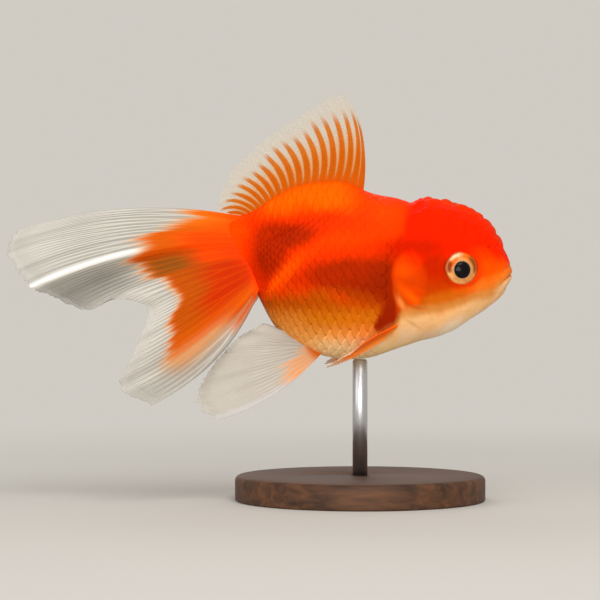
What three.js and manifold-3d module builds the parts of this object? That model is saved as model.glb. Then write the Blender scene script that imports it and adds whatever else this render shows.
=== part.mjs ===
// A young red and white oranda, a fancy goldfish with a double tail, held level on a plain display stand.
// Millimetres, +Z up, the head towards +X, the fish's right side towards -Y.
// The origin is the centre of the underside of the stand's round base.
import * as THREE from 'three';
import { mergeVertices } from 'three/addons/utils/BufferGeometryUtils.js';
import Module from 'manifold-3d';

const wasm = await Module();
wasm.setup();

// ---- Driving sizes -------------------------------------------------------------------------------

const GAP = 0.3; // left between two pieces that meet
const AROUND = 26; // corners of each section of the body
const STEPS = 2; // rings from one section to the next
const SQUARENESS = 2.15; // 2 makes the sections' curves ellipses, more makes them fuller
const BLEND = 0.16; // how softly the back runs into the flank

// Sections of the body from the lips to the end of the tail stalk. Each lies in the plane through back and
// belly, the [x, z] points where it meets the outline. flank is the half width at the widest point, waist
// how high that is and swell how far the flank curves on above it, both as shares of the section's height.
// ridge is the half width of the back, narrower than the flank, and crest the share of the height it takes.
const SECTIONS = [
  { back: [30.3, 45.9], belly: [30.4, 45.0], flank: 0.6, waist: 0.5, swell: 0.5, ridge: 0.5, crest: 0.9 },
  { back: [29.9, 47.6], belly: [30.0, 43.6], flank: 2.2, waist: 0.5, swell: 0.5, ridge: 1.9, crest: 0.9 },
  { back: [28.9, 50.3], belly: [28.8, 41.2], flank: 4.4, waist: 0.5, swell: 0.5, ridge: 3.9, crest: 0.8 },
  { back: [27.0, 53.9], belly: [26.4, 39.0], flank: 6.0, waist: 0.48, swell: 0.5, ridge: 5.8, crest: 0.7 },
  { back: [23.8, 57.3], belly: [22.6, 36.3], flank: 7.5, waist: 0.47, swell: 0.5, ridge: 7.1, crest: 0.62 },
  { back: [19.2, 59.6], belly: [18.0, 33.4], flank: 8.8, waist: 0.46, swell: 0.5, ridge: 7.9, crest: 0.6 },
  { back: [13.4, 60.5], belly: [12.6, 31.8], flank: 9.8, waist: 0.47, swell: 0.5, ridge: 8.0, crest: 0.6 },
  { back: [10.4, 59.7], belly: [9.4, 30.8], flank: 10.2, waist: 0.49, swell: 0.49, ridge: 7.6, crest: 0.6 },
  { back: [7.0, 60.4], belly: [6.6, 29.8], flank: 10.8, waist: 0.51, swell: 0.47, ridge: 7.6, crest: 0.6 },
  { back: [2.4, 61.5], belly: [2.2, 28.4], flank: 11.6, waist: 0.52, swell: 0.43, ridge: 7.2, crest: 0.6 },
  { back: [-3.0, 63.7], belly: [-2.2, 28.0], flank: 12.2, waist: 0.53, swell: 0.36, ridge: 6.4, crest: 0.58 },
  { back: [-8.6, 63.7], belly: [-7.2, 28.7], flank: 12.1, waist: 0.53, swell: 0.29, ridge: 5.5, crest: 0.56 },
  { back: [-13.8, 62.5], belly: [-12.2, 31], flank: 10.7, waist: 0.51, swell: 0.27, ridge: 4.6, crest: 0.56 },
  { back: [-17.8, 60.3], belly: [-16.8, 34.4], flank: 7.8, waist: 0.46, swell: 0.28, ridge: 3.9, crest: 0.6 },
  { back: [-20.8, 58.2], belly: [-19.8, 39.6], flank: 4.8, waist: 0.44, swell: 0.33, ridge: 3.3, crest: 0.68 },
  { back: [-23.6, 57.1], belly: [-21.8, 44.2], flank: 3.1, waist: 0.48, swell: 0.46, ridge: 2.7, crest: 0.8 },
  { back: [-26.2, 56.6], belly: [-24.8, 47.4], flank: 2.2, waist: 0.5, swell: 0.5, ridge: 1.9, crest: 0.9 },
  { back: [-28.4, 55.4], belly: [-27.8, 50.6], flank: 1.1, waist: 0.5, swell: 0.5, ridge: 1.0, crest: 0.9 },
];

// The eyes are flattened balls, turned a little to the front, and the gill covers are oval plates.
const EYE = { x: 19.4, z: 46.2, out: 7.2, radius: 3.65, depth: 2.7, turn: 15 };
const BODY_MIDDLE = 45; // height of the middle of the body
const GILL_COVER = { x: 10.0, z: 44.6, along: 3.5, up: 8.0, thick: 1.3 };

// Planes that part the body, each through two [x, z] points. The neck is behind the gill covers, and the
// wen, the growth on the crown, is above its plane.
const NECK_CUT = [[10.0, 62], [5.2, 30]];
const STALK_CUT = [[-19.0, 60], [-19.8, 40]];
const WEN_CUT = [[9.6, 56.6], [29.6, 49.2]];
const MOUTH_CUT = [[30.6, 45.4], [25.6, 41.6]];
const JAW = { x: 28.2, along: 4.2, wide: 3.3 };
const INNERMOST = 2; // how near to and far from the middle of the fish the side pieces are cut out
const OUTERMOST = 20;

const FIN_ROOT = 0.9; // thickness of a fin at its root
const FIN_EDGE = 0.55; // and at its edge
const FIN_SINK = 1.2; // how far the dorsal fin's root lies under the back before it is cut

const BASE = { radius: 25, height: 5, edge: 1 };
const ROD = { radius: 1.5, socket: 3, top: 30 };

const COLOURS = {
  red: { color: 0xf02c08, roughness: 0.35 },
  orange: { color: 0xf86a10, roughness: 0.4 },
  peach: { color: 0xeeb48a, roughness: 0.4 },
  finWhite: { color: 0xe4ddd2, roughness: 0.45 },
  eye: { color: 0x15110e, roughness: 0.1 },
  wood: { color: 0x4a2f20, roughness: 0.5 },
  steel: { color: 0xb8babd, roughness: 0.3, metalness: 1 },
};

// ---- Smooth curves -------------------------------------------------------------------------------

const { lerp, clamp, degToRad } = THREE.MathUtils;

// The function of one number that runs smoothly through the [at, value] pairs.
function curve(...pairs) {
  const slope = (i) => {
    const [before, after] = [pairs[Math.max(i - 1, 0)], pairs[Math.min(i + 1, pairs.length - 1)]];
    return (after[1] - before[1]) / (after[0] - before[0]);
  };
  return (at) => {
    const next = pairs.findIndex((pair, i) => i > 0 && at <= pair[0]);
    const i = next < 0 ? pairs.length - 2 : next - 1;
    const span = pairs[i + 1][0] - pairs[i][0];
    const t = clamp((at - pairs[i][0]) / span, 0, 1);
    const bend = span * (t * (1 - t) ** 2 * slope(i) - t * t * (1 - t) * slope(i + 1));
    return lerp(pairs[i][1], pairs[i + 1][1], t * t * (3 - 2 * t)) + bend;
  };
}

// The function of one number that runs smoothly through the [at, x, y, z] points.
function path(...points) {
  const [x, y, z] = [1, 2, 3].map((axis) => curve(...points.map((point) => [point[0], point[axis]])));
  return (at) => new THREE.Vector3(x(at), y(at), z(at));
}

const along = (value) => curve(...SECTIONS.map((section, i) => [i, value(section)]));
const back = path(...SECTIONS.map((section, i) => [i, section.back[0], 0, section.back[1]]));
const belly = path(...SECTIONS.map((section, i) => [i, section.belly[0], 0, section.belly[1]]));
const flank = along((section) => section.flank);
const waist = along((section) => section.waist);
const swell = along((section) => section.swell);
const ridge = along((section) => section.ridge);
const crest = along((section) => section.crest);

// ---- The body's surface --------------------------------------------------------------------------

// How far out a point is in an oval: 1 on its edge.
function oval(across, up) {
  return (Math.abs(across) ** SQUARENESS + Math.abs(up) ** SQUARENESS) ** (1 / SQUARENESS);
}

// The lesser of two values, rounded where they cross.
function softLeast(a, b) {
  const near = Math.max(BLEND - Math.abs(a - b), 0) / BLEND;
  return Math.min(a, b) - (near * near * BLEND) / 4;
}

// Where the point across and up from the middle of section s's waist lies: below 1 inside the body, above 1
// outside it.
function outwards(s, height, across, up) {
  const reach = up < 0 ? waist(s) : swell(s);
  const ridgeHalf = (crest(s) * height) / 2;
  const ridgeMiddle = (1 - waist(s)) * height - ridgeHalf;
  return softLeast(
    oval(across / flank(s), up / (reach * height)),
    oval(across / ridge(s), (up - ridgeMiddle) / ridgeHalf),
  );
}

// The point of the body's surface at section number s and an angle round it from the belly, raised off it.
function surface(s, angle, raised) {
  const upward = back(s).sub(belly(s));
  const height = upward.length();
  upward.normalize();
  const [across, up] = [Math.sin(angle), -Math.cos(angle)];
  let [inside, outside] = [0, 2 * height];
  for (let i = 0; i < 32; i++) {
    const middle = (inside + outside) / 2;
    if (outwards(s, height, across * middle, up * middle) < 1) inside = middle;
    else outside = middle;
  }
  const reach = inside + raised;
  const point = belly(s).addScaledVector(upward, waist(s) * height + up * reach);
  point.y = across * reach;
  return point;
}

// ---- Solids --------------------------------------------------------------------------------------

// A three.js geometry as a solid that can be cut and joined.
function solidOf(geometry) {
  const bare = geometry.clone();
  bare.deleteAttribute('normal');
  bare.deleteAttribute('uv');
  const merged = mergeVertices(bare, 1e-4);
  return new wasm.Manifold(
    new wasm.Mesh({
      numProp: 3,
      vertProperties: new Float32Array(merged.attributes.position.array),
      triVerts: new Uint32Array(merged.index.array),
    }),
  );
}

function geometryOf(solid) {
  const mesh = solid.getMesh();
  const geometry = new THREE.BufferGeometry();
  geometry.setAttribute('position', new THREE.BufferAttribute(mesh.vertProperties, 3));
  geometry.setIndex(new THREE.BufferAttribute(mesh.triVerts, 1));
  return geometry;
}

function geometryFrom(points, corners) {
  const geometry = new THREE.BufferGeometry().setFromPoints(points);
  geometry.setIndex(corners);
  return geometry;
}

// The largest piece of a solid that a cut may have left in several.
function largest(solid) {
  return solid.decompose().reduce((a, b) => (a.volume() > b.volume() ? a : b));
}

// The whole body, its surface raised by so much all round.
function bodySolid(raised = 0) {
  const rings = (SECTIONS.length - 1) * STEPS;
  const points = [];
  for (let ring = 0; ring <= rings; ring++)
    for (let i = 0; i < AROUND; i++)
      points.push(surface(ring / STEPS, (2 * Math.PI * i) / AROUND, raised));
  const corners = [];
  for (let ring = 0; ring < rings; ring++)
    for (let i = 0; i < AROUND; i++) {
      const [a, b] = [ring * AROUND + i, ring * AROUND + ((i + 1) % AROUND)];
      corners.push(a, a + AROUND, b, b, a + AROUND, b + AROUND);
    }
  for (let i = 1; i < AROUND - 1; i++) {
    const last = rings * AROUND;
    corners.push(0, i, i + 1);
    corners.push(last, last + i + 1, last + i);
  }
  return solidOf(geometryFrom(points, corners));
}

// A sheet of a fin's thickness about the surface that point(a, r) gives for a and r from 0 to 1, where r = 0
// is the fin's root.
function sheetSolid(point, across, outward) {
  const [upper, lower] = [[], []];
  const nudge = 1e-3; // of the way along and out, over which the sheet's slope is taken
  for (let i = 0; i <= across; i++)
    for (let j = 0; j <= outward; j++) {
      const [a, r] = [i / across, j / outward];
      const over = point(Math.min(a + nudge, 1), r).sub(point(Math.max(a - nudge, 0), r));
      const onward = point(a, Math.min(r + nudge, 1)).sub(point(a, Math.max(r - nudge, 0)));
      const half = over.cross(onward).setLength(lerp(FIN_ROOT, FIN_EDGE, r) / 2);
      upper.push(point(a, r).add(half));
      lower.push(point(a, r).sub(half));
    }
  const row = outward + 1;
  const count = upper.length;
  const corners = [];
  const quad = (a, b, c, d) => corners.push(a, b, c, a, c, d);
  for (let i = 0; i < across; i++)
    for (let j = 0; j < outward; j++) {
      const [a, b] = [i * row + j, (i + 1) * row + j];
      quad(a, b, b + 1, a + 1);
      quad(count + a, count + a + 1, count + b + 1, count + b);
    }
  const rim = [];
  for (let i = 0; i < across; i++) rim.push(i * row);
  for (let j = 0; j < outward; j++) rim.push(across * row + j);
  for (let i = across; i > 0; i--) rim.push(i * row + outward);
  for (let j = outward; j > 0; j--) rim.push(j);
  rim.forEach((a, i) => {
    const b = rim[(i + 1) % rim.length];
    quad(a, a + count, b + count, b);
  });
  const made = solidOf(geometryFrom([...upper, ...lower], corners));
  return made.volume() > 0 ? made : solidOf(geometryFrom([...upper, ...lower], corners.reverse()));
}

// A closed shape drawn in the XZ plane, as a block that runs from y = low to y = high.
function blockOf(shape, low, high) {
  const options = { depth: high - low, bevelEnabled: false, curveSegments: 16 };
  const geometry = new THREE.ExtrudeGeometry(shape, options);
  return solidOf(geometry.rotateX(Math.PI / 2).translate(0, high, 0));
}

// What a cut leaves on the left hand (hand 1) or right hand (hand -1) of somebody who goes from its first
// [x, z] point to its second, seen from the fish's right. It stays clear of the plane, by half a gap unless
// told otherwise.
function sideOf([[x0, z0], [x1, z1]], solid, hand, clear = GAP / 2) {
  const normal = new THREE.Vector2(z0 - z1, x1 - x0).normalize().multiplyScalar(hand);
  return solid.trimByPlane([normal.x, 0, normal.y], normal.dot(new THREE.Vector2(x0, z0)) + clear);
}

const leftOf = (cut, solid, clear) => sideOf(cut, solid, 1, clear);
const rightOf = (cut, solid, clear) => sideOf(cut, solid, -1, clear);

// ---- Fins ----------------------------------------------------------------------------------------

// A fan of rays on the fish's right (side -1) or left (side 1). For a, from the first ray at 0 to the last
// at 1, root and tip are where a ray begins and ends, with y away from the middle of the fish. bow is how
// far its middle bends to the left of the straight line between them, as a share of the line, and flare how
// late it turns outwards.
function fan({ root, tip, bow, flare }, side = 1) {
  return (a, r) => {
    const [from, to] = [root(a), tip(a)];
    const line = to.clone().sub(from);
    const bend = 4 * bow(a) * r * (1 - r);
    return new THREE.Vector3(
      from.x + line.x * r - line.z * bend,
      side * (from.y + line.y * r ** flare),
      from.z + line.z * r + line.x * bend,
    );
  };
}

const DORSAL_FIRST = 9.35; // section numbers between which the dorsal fin grows
const DORSAL_LAST = 15;

const FINS = {
  dorsal: {
    root: (a) => back(lerp(DORSAL_FIRST, DORSAL_LAST, a)).sub(new THREE.Vector3(0, 0, FIN_SINK)),
    tip: path(
      [0, -0.6, 0, 77.6],
      [0.06, -2.4, 0, 80.6],
      [0.13, -4.6, 0, 81.8],
      [0.25, -8.8, 0.4, 79.8],
      [0.4, -14.0, 0.6, 76.2],
      [0.55, -19.2, 0.6, 72.6],
      [0.7, -23.8, 0.4, 68.4],
      [0.85, -27.2, 0.2, 63.6],
      [1, -29.0, 0, 58.2],
    ),
    bow: curve([0, -0.06], [0.3, -0.08], [1, -0.05]),
    flare: 2,
  },
  // The pectoral fins slope back and down from behind the gill covers, spread flat like short wings.
  pectoral: {
    root: path([0, 9.2, 6.2, 35.8], [1, 7.2, 5.6, 34.0]),
    tip: path(
      [0, -2.2, 17.6, 29.6],
      [0.35, -5.2, 16.2, 28.0],
      [0.7, -7.0, 12.6, 26.8],
      [1, -4.6, 10.4, 27.4],
    ),
    bow: curve([0, -0.05], [1, 0.03]),
    flare: 1,
  },
  // The pelvic fins are long and hang back and down from the belly.
  pelvic: {
    root: path([0, -8.2, 2.2, 28.9], [1, -11.2, 2.6, 31.6]),
    tip: path(
      [0, -28.4, 7.6, 16.4],
      [0.12, -31.2, 7.2, 17.6],
      [0.27, -32.8, 6.6, 20.6],
      [0.45, -31.4, 5.6, 24.6],
      [0.65, -28.0, 4.8, 29.0],
      [0.8, -24.4, 4.4, 32.6],
      [1, -19.6, 4.0, 35.4],
    ),
    bow: curve([0, 0.075], [0.5, 0.02], [1, -0.04]),
    flare: 1.2,
  },
  // The two small anal fins lie side by side under the tail stalk.
  anal: {
    root: path([0, -20.0, 0.9, 41.0], [1, -22.2, 0.9, 45.4]),
    tip: path(
      [0, -26.2, 1.6, 34.6],
      [0.25, -28.2, 1.7, 35.4],
      [0.6, -29.2, 1.5, 38.4],
      [1, -27.8, 1.2, 43.4],
    ),
    bow: curve([0, 0.06], [1, -0.02]),
    flare: 1,
  },
  // Half of the double tail, from the ray of its top edge to the one of its lower front edge. The upper
  // lobe ends in a ledge that stands out sideways, tucks in again above the fork, and flares out for the
  // lower lobe.
  tail: {
    root: path([0, -23.6, 0.75, 56.6], [1, -20.0, 2.5, 42.4]),
    tip: path(
      [0, -67.0, 1.8, 54.4],
      [0.08, -69.6, 3.6, 52.2],
      [0.17, -70.0, 6.2, 49.2],
      [0.27, -68.0, 9.6, 46.0],
      [0.36, -64.4, 13.4, 42.2],
      [0.45, -60.4, 9.8, 40.2],
      [0.53, -54.6, 7.6, 38.0],
      [0.6, -48.8, 7.6, 40.0],
      [0.66, -42.4, 8.2, 38.4],
      [0.75, -43.2, 11.0, 33.6],
      [0.84, -46.0, 13.8, 27.0],
      [0.91, -47.2, 15.0, 22.8],
      [1, -41.4, 13.6, 19.2],
    ),
    bow: curve([0, -0.065], [0.5, -0.06], [0.72, -0.01], [1, 0.1]),
    flare: 1.25,
  },
};
const FORK = 0.66; // the ray at which half of the tail divides into its upper and lower lobe
const FORK_SLIT = 0.4; // width of the slit from the root to the fork
const FORK_STEP = 0.01; // in rays, over which the width of the tail at the fork is measured
const LEFT_TAIL_SPREAD = 0.88; // the left half's spread beside that of the right half

// ---- Building ------------------------------------------------------------------------------------

const fish = new THREE.Group();
const stand = new THREE.Group();
const sides = { right: -1, left: 1 };

function add(group, name, solid, colour) {
  const mesh = new THREE.Mesh(geometryOf(solid), new THREE.MeshStandardMaterial(COLOURS[colour]));
  mesh.name = name;
  group.add(mesh);
}

function eyeSolid(side, grow) {
  const ball = new THREE.SphereGeometry(1, 14, 9);
  ball.scale(EYE.radius + grow, EYE.depth + grow, EYE.radius + grow);
  ball.rotateZ(-side * degToRad(EYE.turn));
  return solidOf(ball.translate(EYE.x, side * EYE.out, EYE.z));
}

function addFlesh() {
  const whole = bodySolid();
  const under = bodySolid(-GILL_COVER.thick);
  const wellUnder = bodySolid(-GILL_COVER.thick - GAP);
  const plate = (side, grow) => {
    const { x, z, along, up } = GILL_COVER;
    const outline = new THREE.Shape().absellipse(x, z, along + grow, up + grow, 0, 2 * Math.PI);
    const block = side > 0 ? blockOf(outline, INNERMOST, OUTERMOST) : blockOf(outline, -OUTERMOST, -INNERMOST);
    return block.subtract(grow ? wellUnder : under);
  };
  let rest = whole;
  for (const [name, side] of Object.entries(sides)) {
    add(fish, `eye_${name}`, eyeSolid(side, 0), 'eye');
    add(fish, `gill_cover_${name}`, largest(plate(side, 0).intersect(whole)), 'orange');
    rest = rest.subtract(eyeSolid(side, GAP)).subtract(plate(side, GAP));
  }
  add(fish, 'tail_stalk', rightOf(STALK_CUT, rest), 'orange');
  add(fish, 'trunk', largest(leftOf(STALK_CUT, rightOf(NECK_CUT, rest))), 'orange');
  const head = leftOf(NECK_CUT, rest);
  add(fish, 'wen', largest(leftOf(WEN_CUT, head)), 'red');
  const face = rightOf(WEN_CUT, head);
  const jaw = (grow) => {
    const column = new THREE.CylinderGeometry(1, 1, OUTERMOST, 20).rotateX(Math.PI / 2);
    return solidOf(column.scale(JAW.along + grow, JAW.wide + grow, 1).translate(JAW.x, 0, BODY_MIDDLE));
  };
  add(fish, 'lower_jaw', largest(leftOf(MOUTH_CUT, jaw(0).intersect(face))), 'peach');
  add(fish, 'head', largest(face.subtract(leftOf(MOUTH_CUT, jaw(GAP), -GAP / 2))), 'red');
}

function addFins() {
  const clearance = bodySolid(GAP);
  const addFin = (name, point, across, outward, colour) =>
    add(fish, name, largest(sheetSolid(point, across, outward).subtract(clearance)), colour);
  addFin('fin_dorsal', fan(FINS.dorsal), 18, 5, 'orange');
  for (const [name, side] of Object.entries(sides)) {
    addFin(`fin_pectoral_${name}`, fan(FINS.pectoral, side), 6, 4, 'orange');
    addFin(`fin_pelvic_${name}`, fan(FINS.pelvic, side), 10, 6, 'finWhite');
    addFin(`fin_anal_${name}`, fan(FINS.anal, side), 5, 3, 'peach');
    const spread = new THREE.Vector3(1, side < 0 ? 1 : LEFT_TAIL_SPREAD, 1);
    const half = (a, r) => fan(FINS.tail, side)(a, r).multiply(spread);
    const width = (r) => half(FORK + FORK_STEP, r).distanceTo(half(FORK - FORK_STEP, r));
    const slit = (r) => (FORK_SLIT * FORK_STEP) / width(r);
    addFin(`tail_upper_${name}`, (a, r) => half(a * (FORK - slit(r)), r), 14, 8, 'finWhite');
    addFin(`tail_lower_${name}`, (a, r) => half(lerp(FORK + slit(r), 1, a), r), 8, 7, 'finWhite');
  }
}

function addStand() {
  const { radius, height, edge } = BASE;
  const profile = new THREE.Path();
  profile.moveTo(0, 0);
  profile.lineTo(radius - edge / 2, 0);
  profile.lineTo(radius, edge / 2);
  profile.lineTo(radius, height - edge);
  profile.absarc(radius - edge, height - edge, edge, 0, Math.PI / 2);
  profile.lineTo(ROD.radius + GAP, height);
  profile.lineTo(ROD.radius + GAP, height - ROD.socket);
  profile.lineTo(0, height - ROD.socket);
  const disc = new THREE.LatheGeometry(profile.getPoints(2), 36).rotateX(Math.PI / 2);
  add(stand, 'stand_base', solidOf(disc), 'wood');

  const foot = height - ROD.socket + GAP;
  const rod = new THREE.CylinderGeometry(ROD.radius, ROD.radius, ROD.top - foot, 20);
  rod.rotateX(Math.PI / 2).translate(0, 0, (ROD.top + foot) / 2);
  add(stand, 'stand_rod', largest(solidOf(rod).subtract(bodySolid(GAP))), 'steel');
}

addFlesh();
addFins();
addStand();

const model = new THREE.Group();
model.add(fish, stand);

export default model;
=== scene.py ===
# A young red and white oranda on its display stand: one skin with scales, membranes with rays for the fins,
# eyes, and a wooden base with a steel rod. Lengths are in millimetres up to build(), which turns them into
# metres; floor, lamps and camera are in metres.
import math

import bpy
import numpy as np
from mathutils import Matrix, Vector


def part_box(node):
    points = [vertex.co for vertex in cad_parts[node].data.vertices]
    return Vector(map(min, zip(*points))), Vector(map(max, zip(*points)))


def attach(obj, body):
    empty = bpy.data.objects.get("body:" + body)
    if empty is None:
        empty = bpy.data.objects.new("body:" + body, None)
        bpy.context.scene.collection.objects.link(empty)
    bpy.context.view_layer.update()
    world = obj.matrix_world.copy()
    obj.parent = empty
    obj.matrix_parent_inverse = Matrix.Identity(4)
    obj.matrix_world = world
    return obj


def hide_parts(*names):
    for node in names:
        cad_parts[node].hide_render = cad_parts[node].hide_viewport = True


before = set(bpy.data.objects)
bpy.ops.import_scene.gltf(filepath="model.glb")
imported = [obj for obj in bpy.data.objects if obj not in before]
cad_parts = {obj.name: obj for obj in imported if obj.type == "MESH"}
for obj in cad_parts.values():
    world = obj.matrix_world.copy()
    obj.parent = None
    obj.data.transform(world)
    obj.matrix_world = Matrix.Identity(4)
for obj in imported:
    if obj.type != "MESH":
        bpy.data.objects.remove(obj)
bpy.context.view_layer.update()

MM = 0.001
TAU = 2 * math.pi
rng = np.random.default_rng(7)

# ---- Shape of the body: the sizes that the solids were made from ----

SQUARENESS = 2.15
BLEND = 0.16
HALVINGS = 30  # steps of the search for the surface
# Rows from snout to tail: back x, z; belly x, z; the flank's half width, and its reach down and up from its
# widest place as shares of the height; the ridge's half width, and its height as a share
SECTIONS = np.array([
    [30.3, 45.9, 30.4, 45, 0.6, 0.5, 0.5, 0.5, 0.9],
    [29.9, 47.6, 30, 43.6, 2.2, 0.5, 0.5, 1.9, 0.9],
    [28.9, 50.3, 28.8, 41.2, 4.4, 0.5, 0.5, 3.9, 0.8],
    [27, 53.9, 26.4, 39, 6, 0.48, 0.5, 5.8, 0.7],
    [23.8, 57.3, 22.6, 36.3, 7.5, 0.47, 0.5, 7.1, 0.62],
    [19.2, 59.6, 18, 33.4, 8.8, 0.46, 0.5, 7.9, 0.6],
    [13.4, 60.5, 12.6, 31.8, 9.8, 0.47, 0.5, 8, 0.6],
    [10.4, 59.7, 9.4, 30.8, 10.2, 0.49, 0.49, 7.6, 0.6],
    [7, 60.4, 6.6, 29.8, 10.8, 0.51, 0.47, 7.6, 0.6],
    [2.4, 61.5, 2.2, 28.4, 11.6, 0.52, 0.43, 7.2, 0.6],
    [-3, 63.7, -2.2, 28, 12.2, 0.53, 0.36, 6.4, 0.58],
    [-8.6, 63.7, -7.2, 28.7, 12.1, 0.53, 0.29, 5.5, 0.56],
    [-13.8, 62.5, -12.2, 31, 10.7, 0.51, 0.27, 4.6, 0.56],
    [-17.8, 60.3, -16.8, 34.4, 7.8, 0.46, 0.28, 3.9, 0.6],
    [-20.8, 58.2, -19.8, 39.6, 4.8, 0.44, 0.33, 3.3, 0.68],
    [-23.6, 57.1, -21.8, 44.2, 3.1, 0.48, 0.46, 2.7, 0.8],
    [-26.2, 56.6, -24.8, 47.4, 2.2, 0.5, 0.5, 1.9, 0.9],
    [-28.4, 55.4, -27.8, 50.6, 1.1, 0.5, 0.5, 1, 0.9],
])
LAST = len(SECTIONS) - 1


def smooth(low, high, value):
    """0 below low, 1 above high and smooth between, or the other way round where low is the larger."""
    t = np.clip((np.asarray(value, float) - low) / (high - low), 0, 1)
    return t * t * (3 - 2 * t)


def bell(value, width):
    """1 at a value of 0, falling off on both sides over about that width."""
    return np.exp(-((value / width) ** 2))


def curve(*pairs):
    """The function that runs smoothly through the (at, value) pairs."""
    at, values = np.array(pairs, float).T
    slope = np.empty_like(values)
    slope[1:-1] = (values[2:] - values[:-2]) / (at[2:] - at[:-2])
    slope[0] = (values[1] - values[0]) / (at[1] - at[0])
    slope[-1] = (values[-1] - values[-2]) / (at[-1] - at[-2])

    def f(x):
        x = np.asarray(x, float)
        i = np.clip(np.searchsorted(at, x) - 1, 0, len(at) - 2)
        span = at[i + 1] - at[i]
        t = np.clip((x - at[i]) / span, 0, 1)
        bend = span * (t * (1 - t) ** 2 * slope[i] - t * t * (1 - t) * slope[i + 1])
        return values[i] + (values[i + 1] - values[i]) * t * t * (3 - 2 * t) + bend

    return f


def path(*points):
    """The function that runs smoothly through the (at, x, y, z) points."""
    axes = [curve(*[(p[0], p[k]) for p in points]) for k in (1, 2, 3)]
    return lambda at: np.stack([axis(at) for axis in axes], -1)


of_section = [curve(*enumerate(column)) for column in SECTIONS.T]


def oval(across, up):
    """Below 1 inside a squarish oval of half width and half height 1."""
    return (np.abs(across) ** SQUARENESS + np.abs(up) ** SQUARENESS) ** (1 / SQUARENESS)


def body_point(s, angle, raised=0):
    """The body's surface at section number s and an angle round it from the belly, raised off it."""
    s, angle = np.broadcast_arrays(np.asarray(s, float), np.asarray(angle, float))
    back_x, back_z, belly_x, belly_z, flank, waist, swell, ridge, crest = [f(s) for f in of_section]
    height = np.hypot(back_x - belly_x, back_z - belly_z)
    up_x, up_z = (back_x - belly_x) / height, (back_z - belly_z) / height
    across, up = np.sin(angle), -np.cos(angle)
    reach_up = np.where(up < 0, waist, swell) * height
    ridge_half = crest * height / 2
    ridge_middle = (1 - waist) * height - ridge_half
    inside, outside = np.zeros_like(s), 2 * height
    for _ in range(HALVINGS):
        middle = (inside + outside) / 2
        a = oval(across * middle / flank, up * middle / reach_up)
        b = oval(across * middle / ridge, (up * middle - ridge_middle) / ridge_half)
        near = np.maximum(BLEND - np.abs(a - b), 0) / BLEND
        low = np.minimum(a, b) - near * near * BLEND / 4 < 1
        inside, outside = np.where(low, middle, inside), np.where(low, outside, middle)
    reach = inside + raised
    lift = waist * height + up * reach
    return np.stack([belly_x + up_x * lift, across * reach, belly_z + up_z * lift], -1)


def grid_normals(grid, closed):
    """Unit normals of a grid of points whose second direction may close on itself."""
    if closed:
        round_it = np.roll(grid, -1, 1) - np.roll(grid, 1, 1)
    else:
        round_it = np.gradient(grid, axis=1)
    normal = np.cross(np.gradient(grid, axis=0), round_it)
    return normal / np.maximum(np.linalg.norm(normal, axis=-1, keepdims=True), 1e-9)


WAVES = 7


def waves(points, size, seed):
    """Smooth random numbers of about -1 to 1 that change over about that distance."""
    draw = np.random.default_rng(seed)
    ways = draw.normal(size=(WAVES, 3))
    ways /= np.linalg.norm(ways, axis=1, keepdims=True)
    speeds = TAU / (size * draw.uniform(1.2, 3.2, WAVES))
    phases = draw.uniform(0, TAU, WAVES)
    return np.sin(points @ (ways * speeds[:, None]).T + phases).sum(-1) / math.sqrt(WAVES)


# ---- Colours ----


def linear(rgb):
    """A colour of 0 to 255 as the light that it stands for."""
    c = np.asarray(rgb, float) / 255
    return np.where(c <= 0.04045, c / 12.92, ((c + 0.055) / 1.055) ** 2.4)


def overlaid(tint, *layers):
    """Colours with others laid over them in turn, each a colour and its strength at each point."""
    for rgb, share in layers:
        share = np.clip(share, 0, 1)[..., None]
        tint = tint * (1 - share) + linear(rgb) * share
    return tint


RED = (244, 28, 0)
DEEP_SHADE_RED = (156, 32, 1)
HOLLOW_SHADE_RED = (170, 33, 0)
FLAME = (250, 50, 0)
BRIGHT_FLAME = (255, 66, 0)
ORANGE = (255, 92, 0)
TAN = (180, 72, 2)
BUFF = (204, 109, 13)
APRICOT = (255, 174, 86)
RIM = (236, 150, 70)
PEACH = (246, 188, 126)
CREAM = (248, 222, 190)
BREAST = (255, 214, 152)
FIN_WHITE = (184, 178, 166)
RAY_WHITE = (226, 222, 212)

# heights of lines on the flank at each x
throat_line = curve((-16, 29.6), (-10, 30.4), (-4, 31.6), (0, 32.4), (3.7, 33.6), (4.9, 34.2), (6.2, 35),
                    (7, 36.2), (7.6, 37.6), (8.4, 38.6), (10, 38.7), (14.6, 38.7), (18.8, 40.2), (23, 41.5),
                    (27.3, 42.9), (30.4, 44.9))
cover_hem = curve((7, 42.2), (7.8, 40.5), (9.2, 39), (11.5, 38.2), (15, 38.6))
tan_line = curve((-20, 40.2), (-16, 42), (-8, 42), (-4, 41.8), (0, 40.4), (5, 39.4))
crown_line = curve((3, 52), (8, 50), (13, 48.8), (18, 48.6), (22, 48.8), (26, 49.2), (31, 48.4))
ridge_highlight_line = curve((-19, 38.5), (-17.5, 41.4), (-16, 43.6), (-14, 45.7), (-12, 47.6), (-10, 49.2), (-8, 50.6),
                   (-6, 51.5), (-4, 51.8), (0, 51.9), (4, 52.3), (8, 53.2))


def blot(x, z, centre_x, centre_z, along, up):
    """1 at a spot of the flank, falling off over those distances along and up."""
    return np.exp(-(((x - centre_x) / along) ** 2) - ((z - centre_z) / up) ** 2)


def hem(x, z, width):
    """The line along the lower hem of the gill cover."""
    return bell(z - cover_hem(x), width) * smooth(6.9, 7.5, x) * smooth(14, 11, x)


def throat_crease(x, z):
    return bell(z - 35.1 + 0.6 * (x - 10.3), 0.35) * bell(x - 10.1, 1.7)


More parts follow.
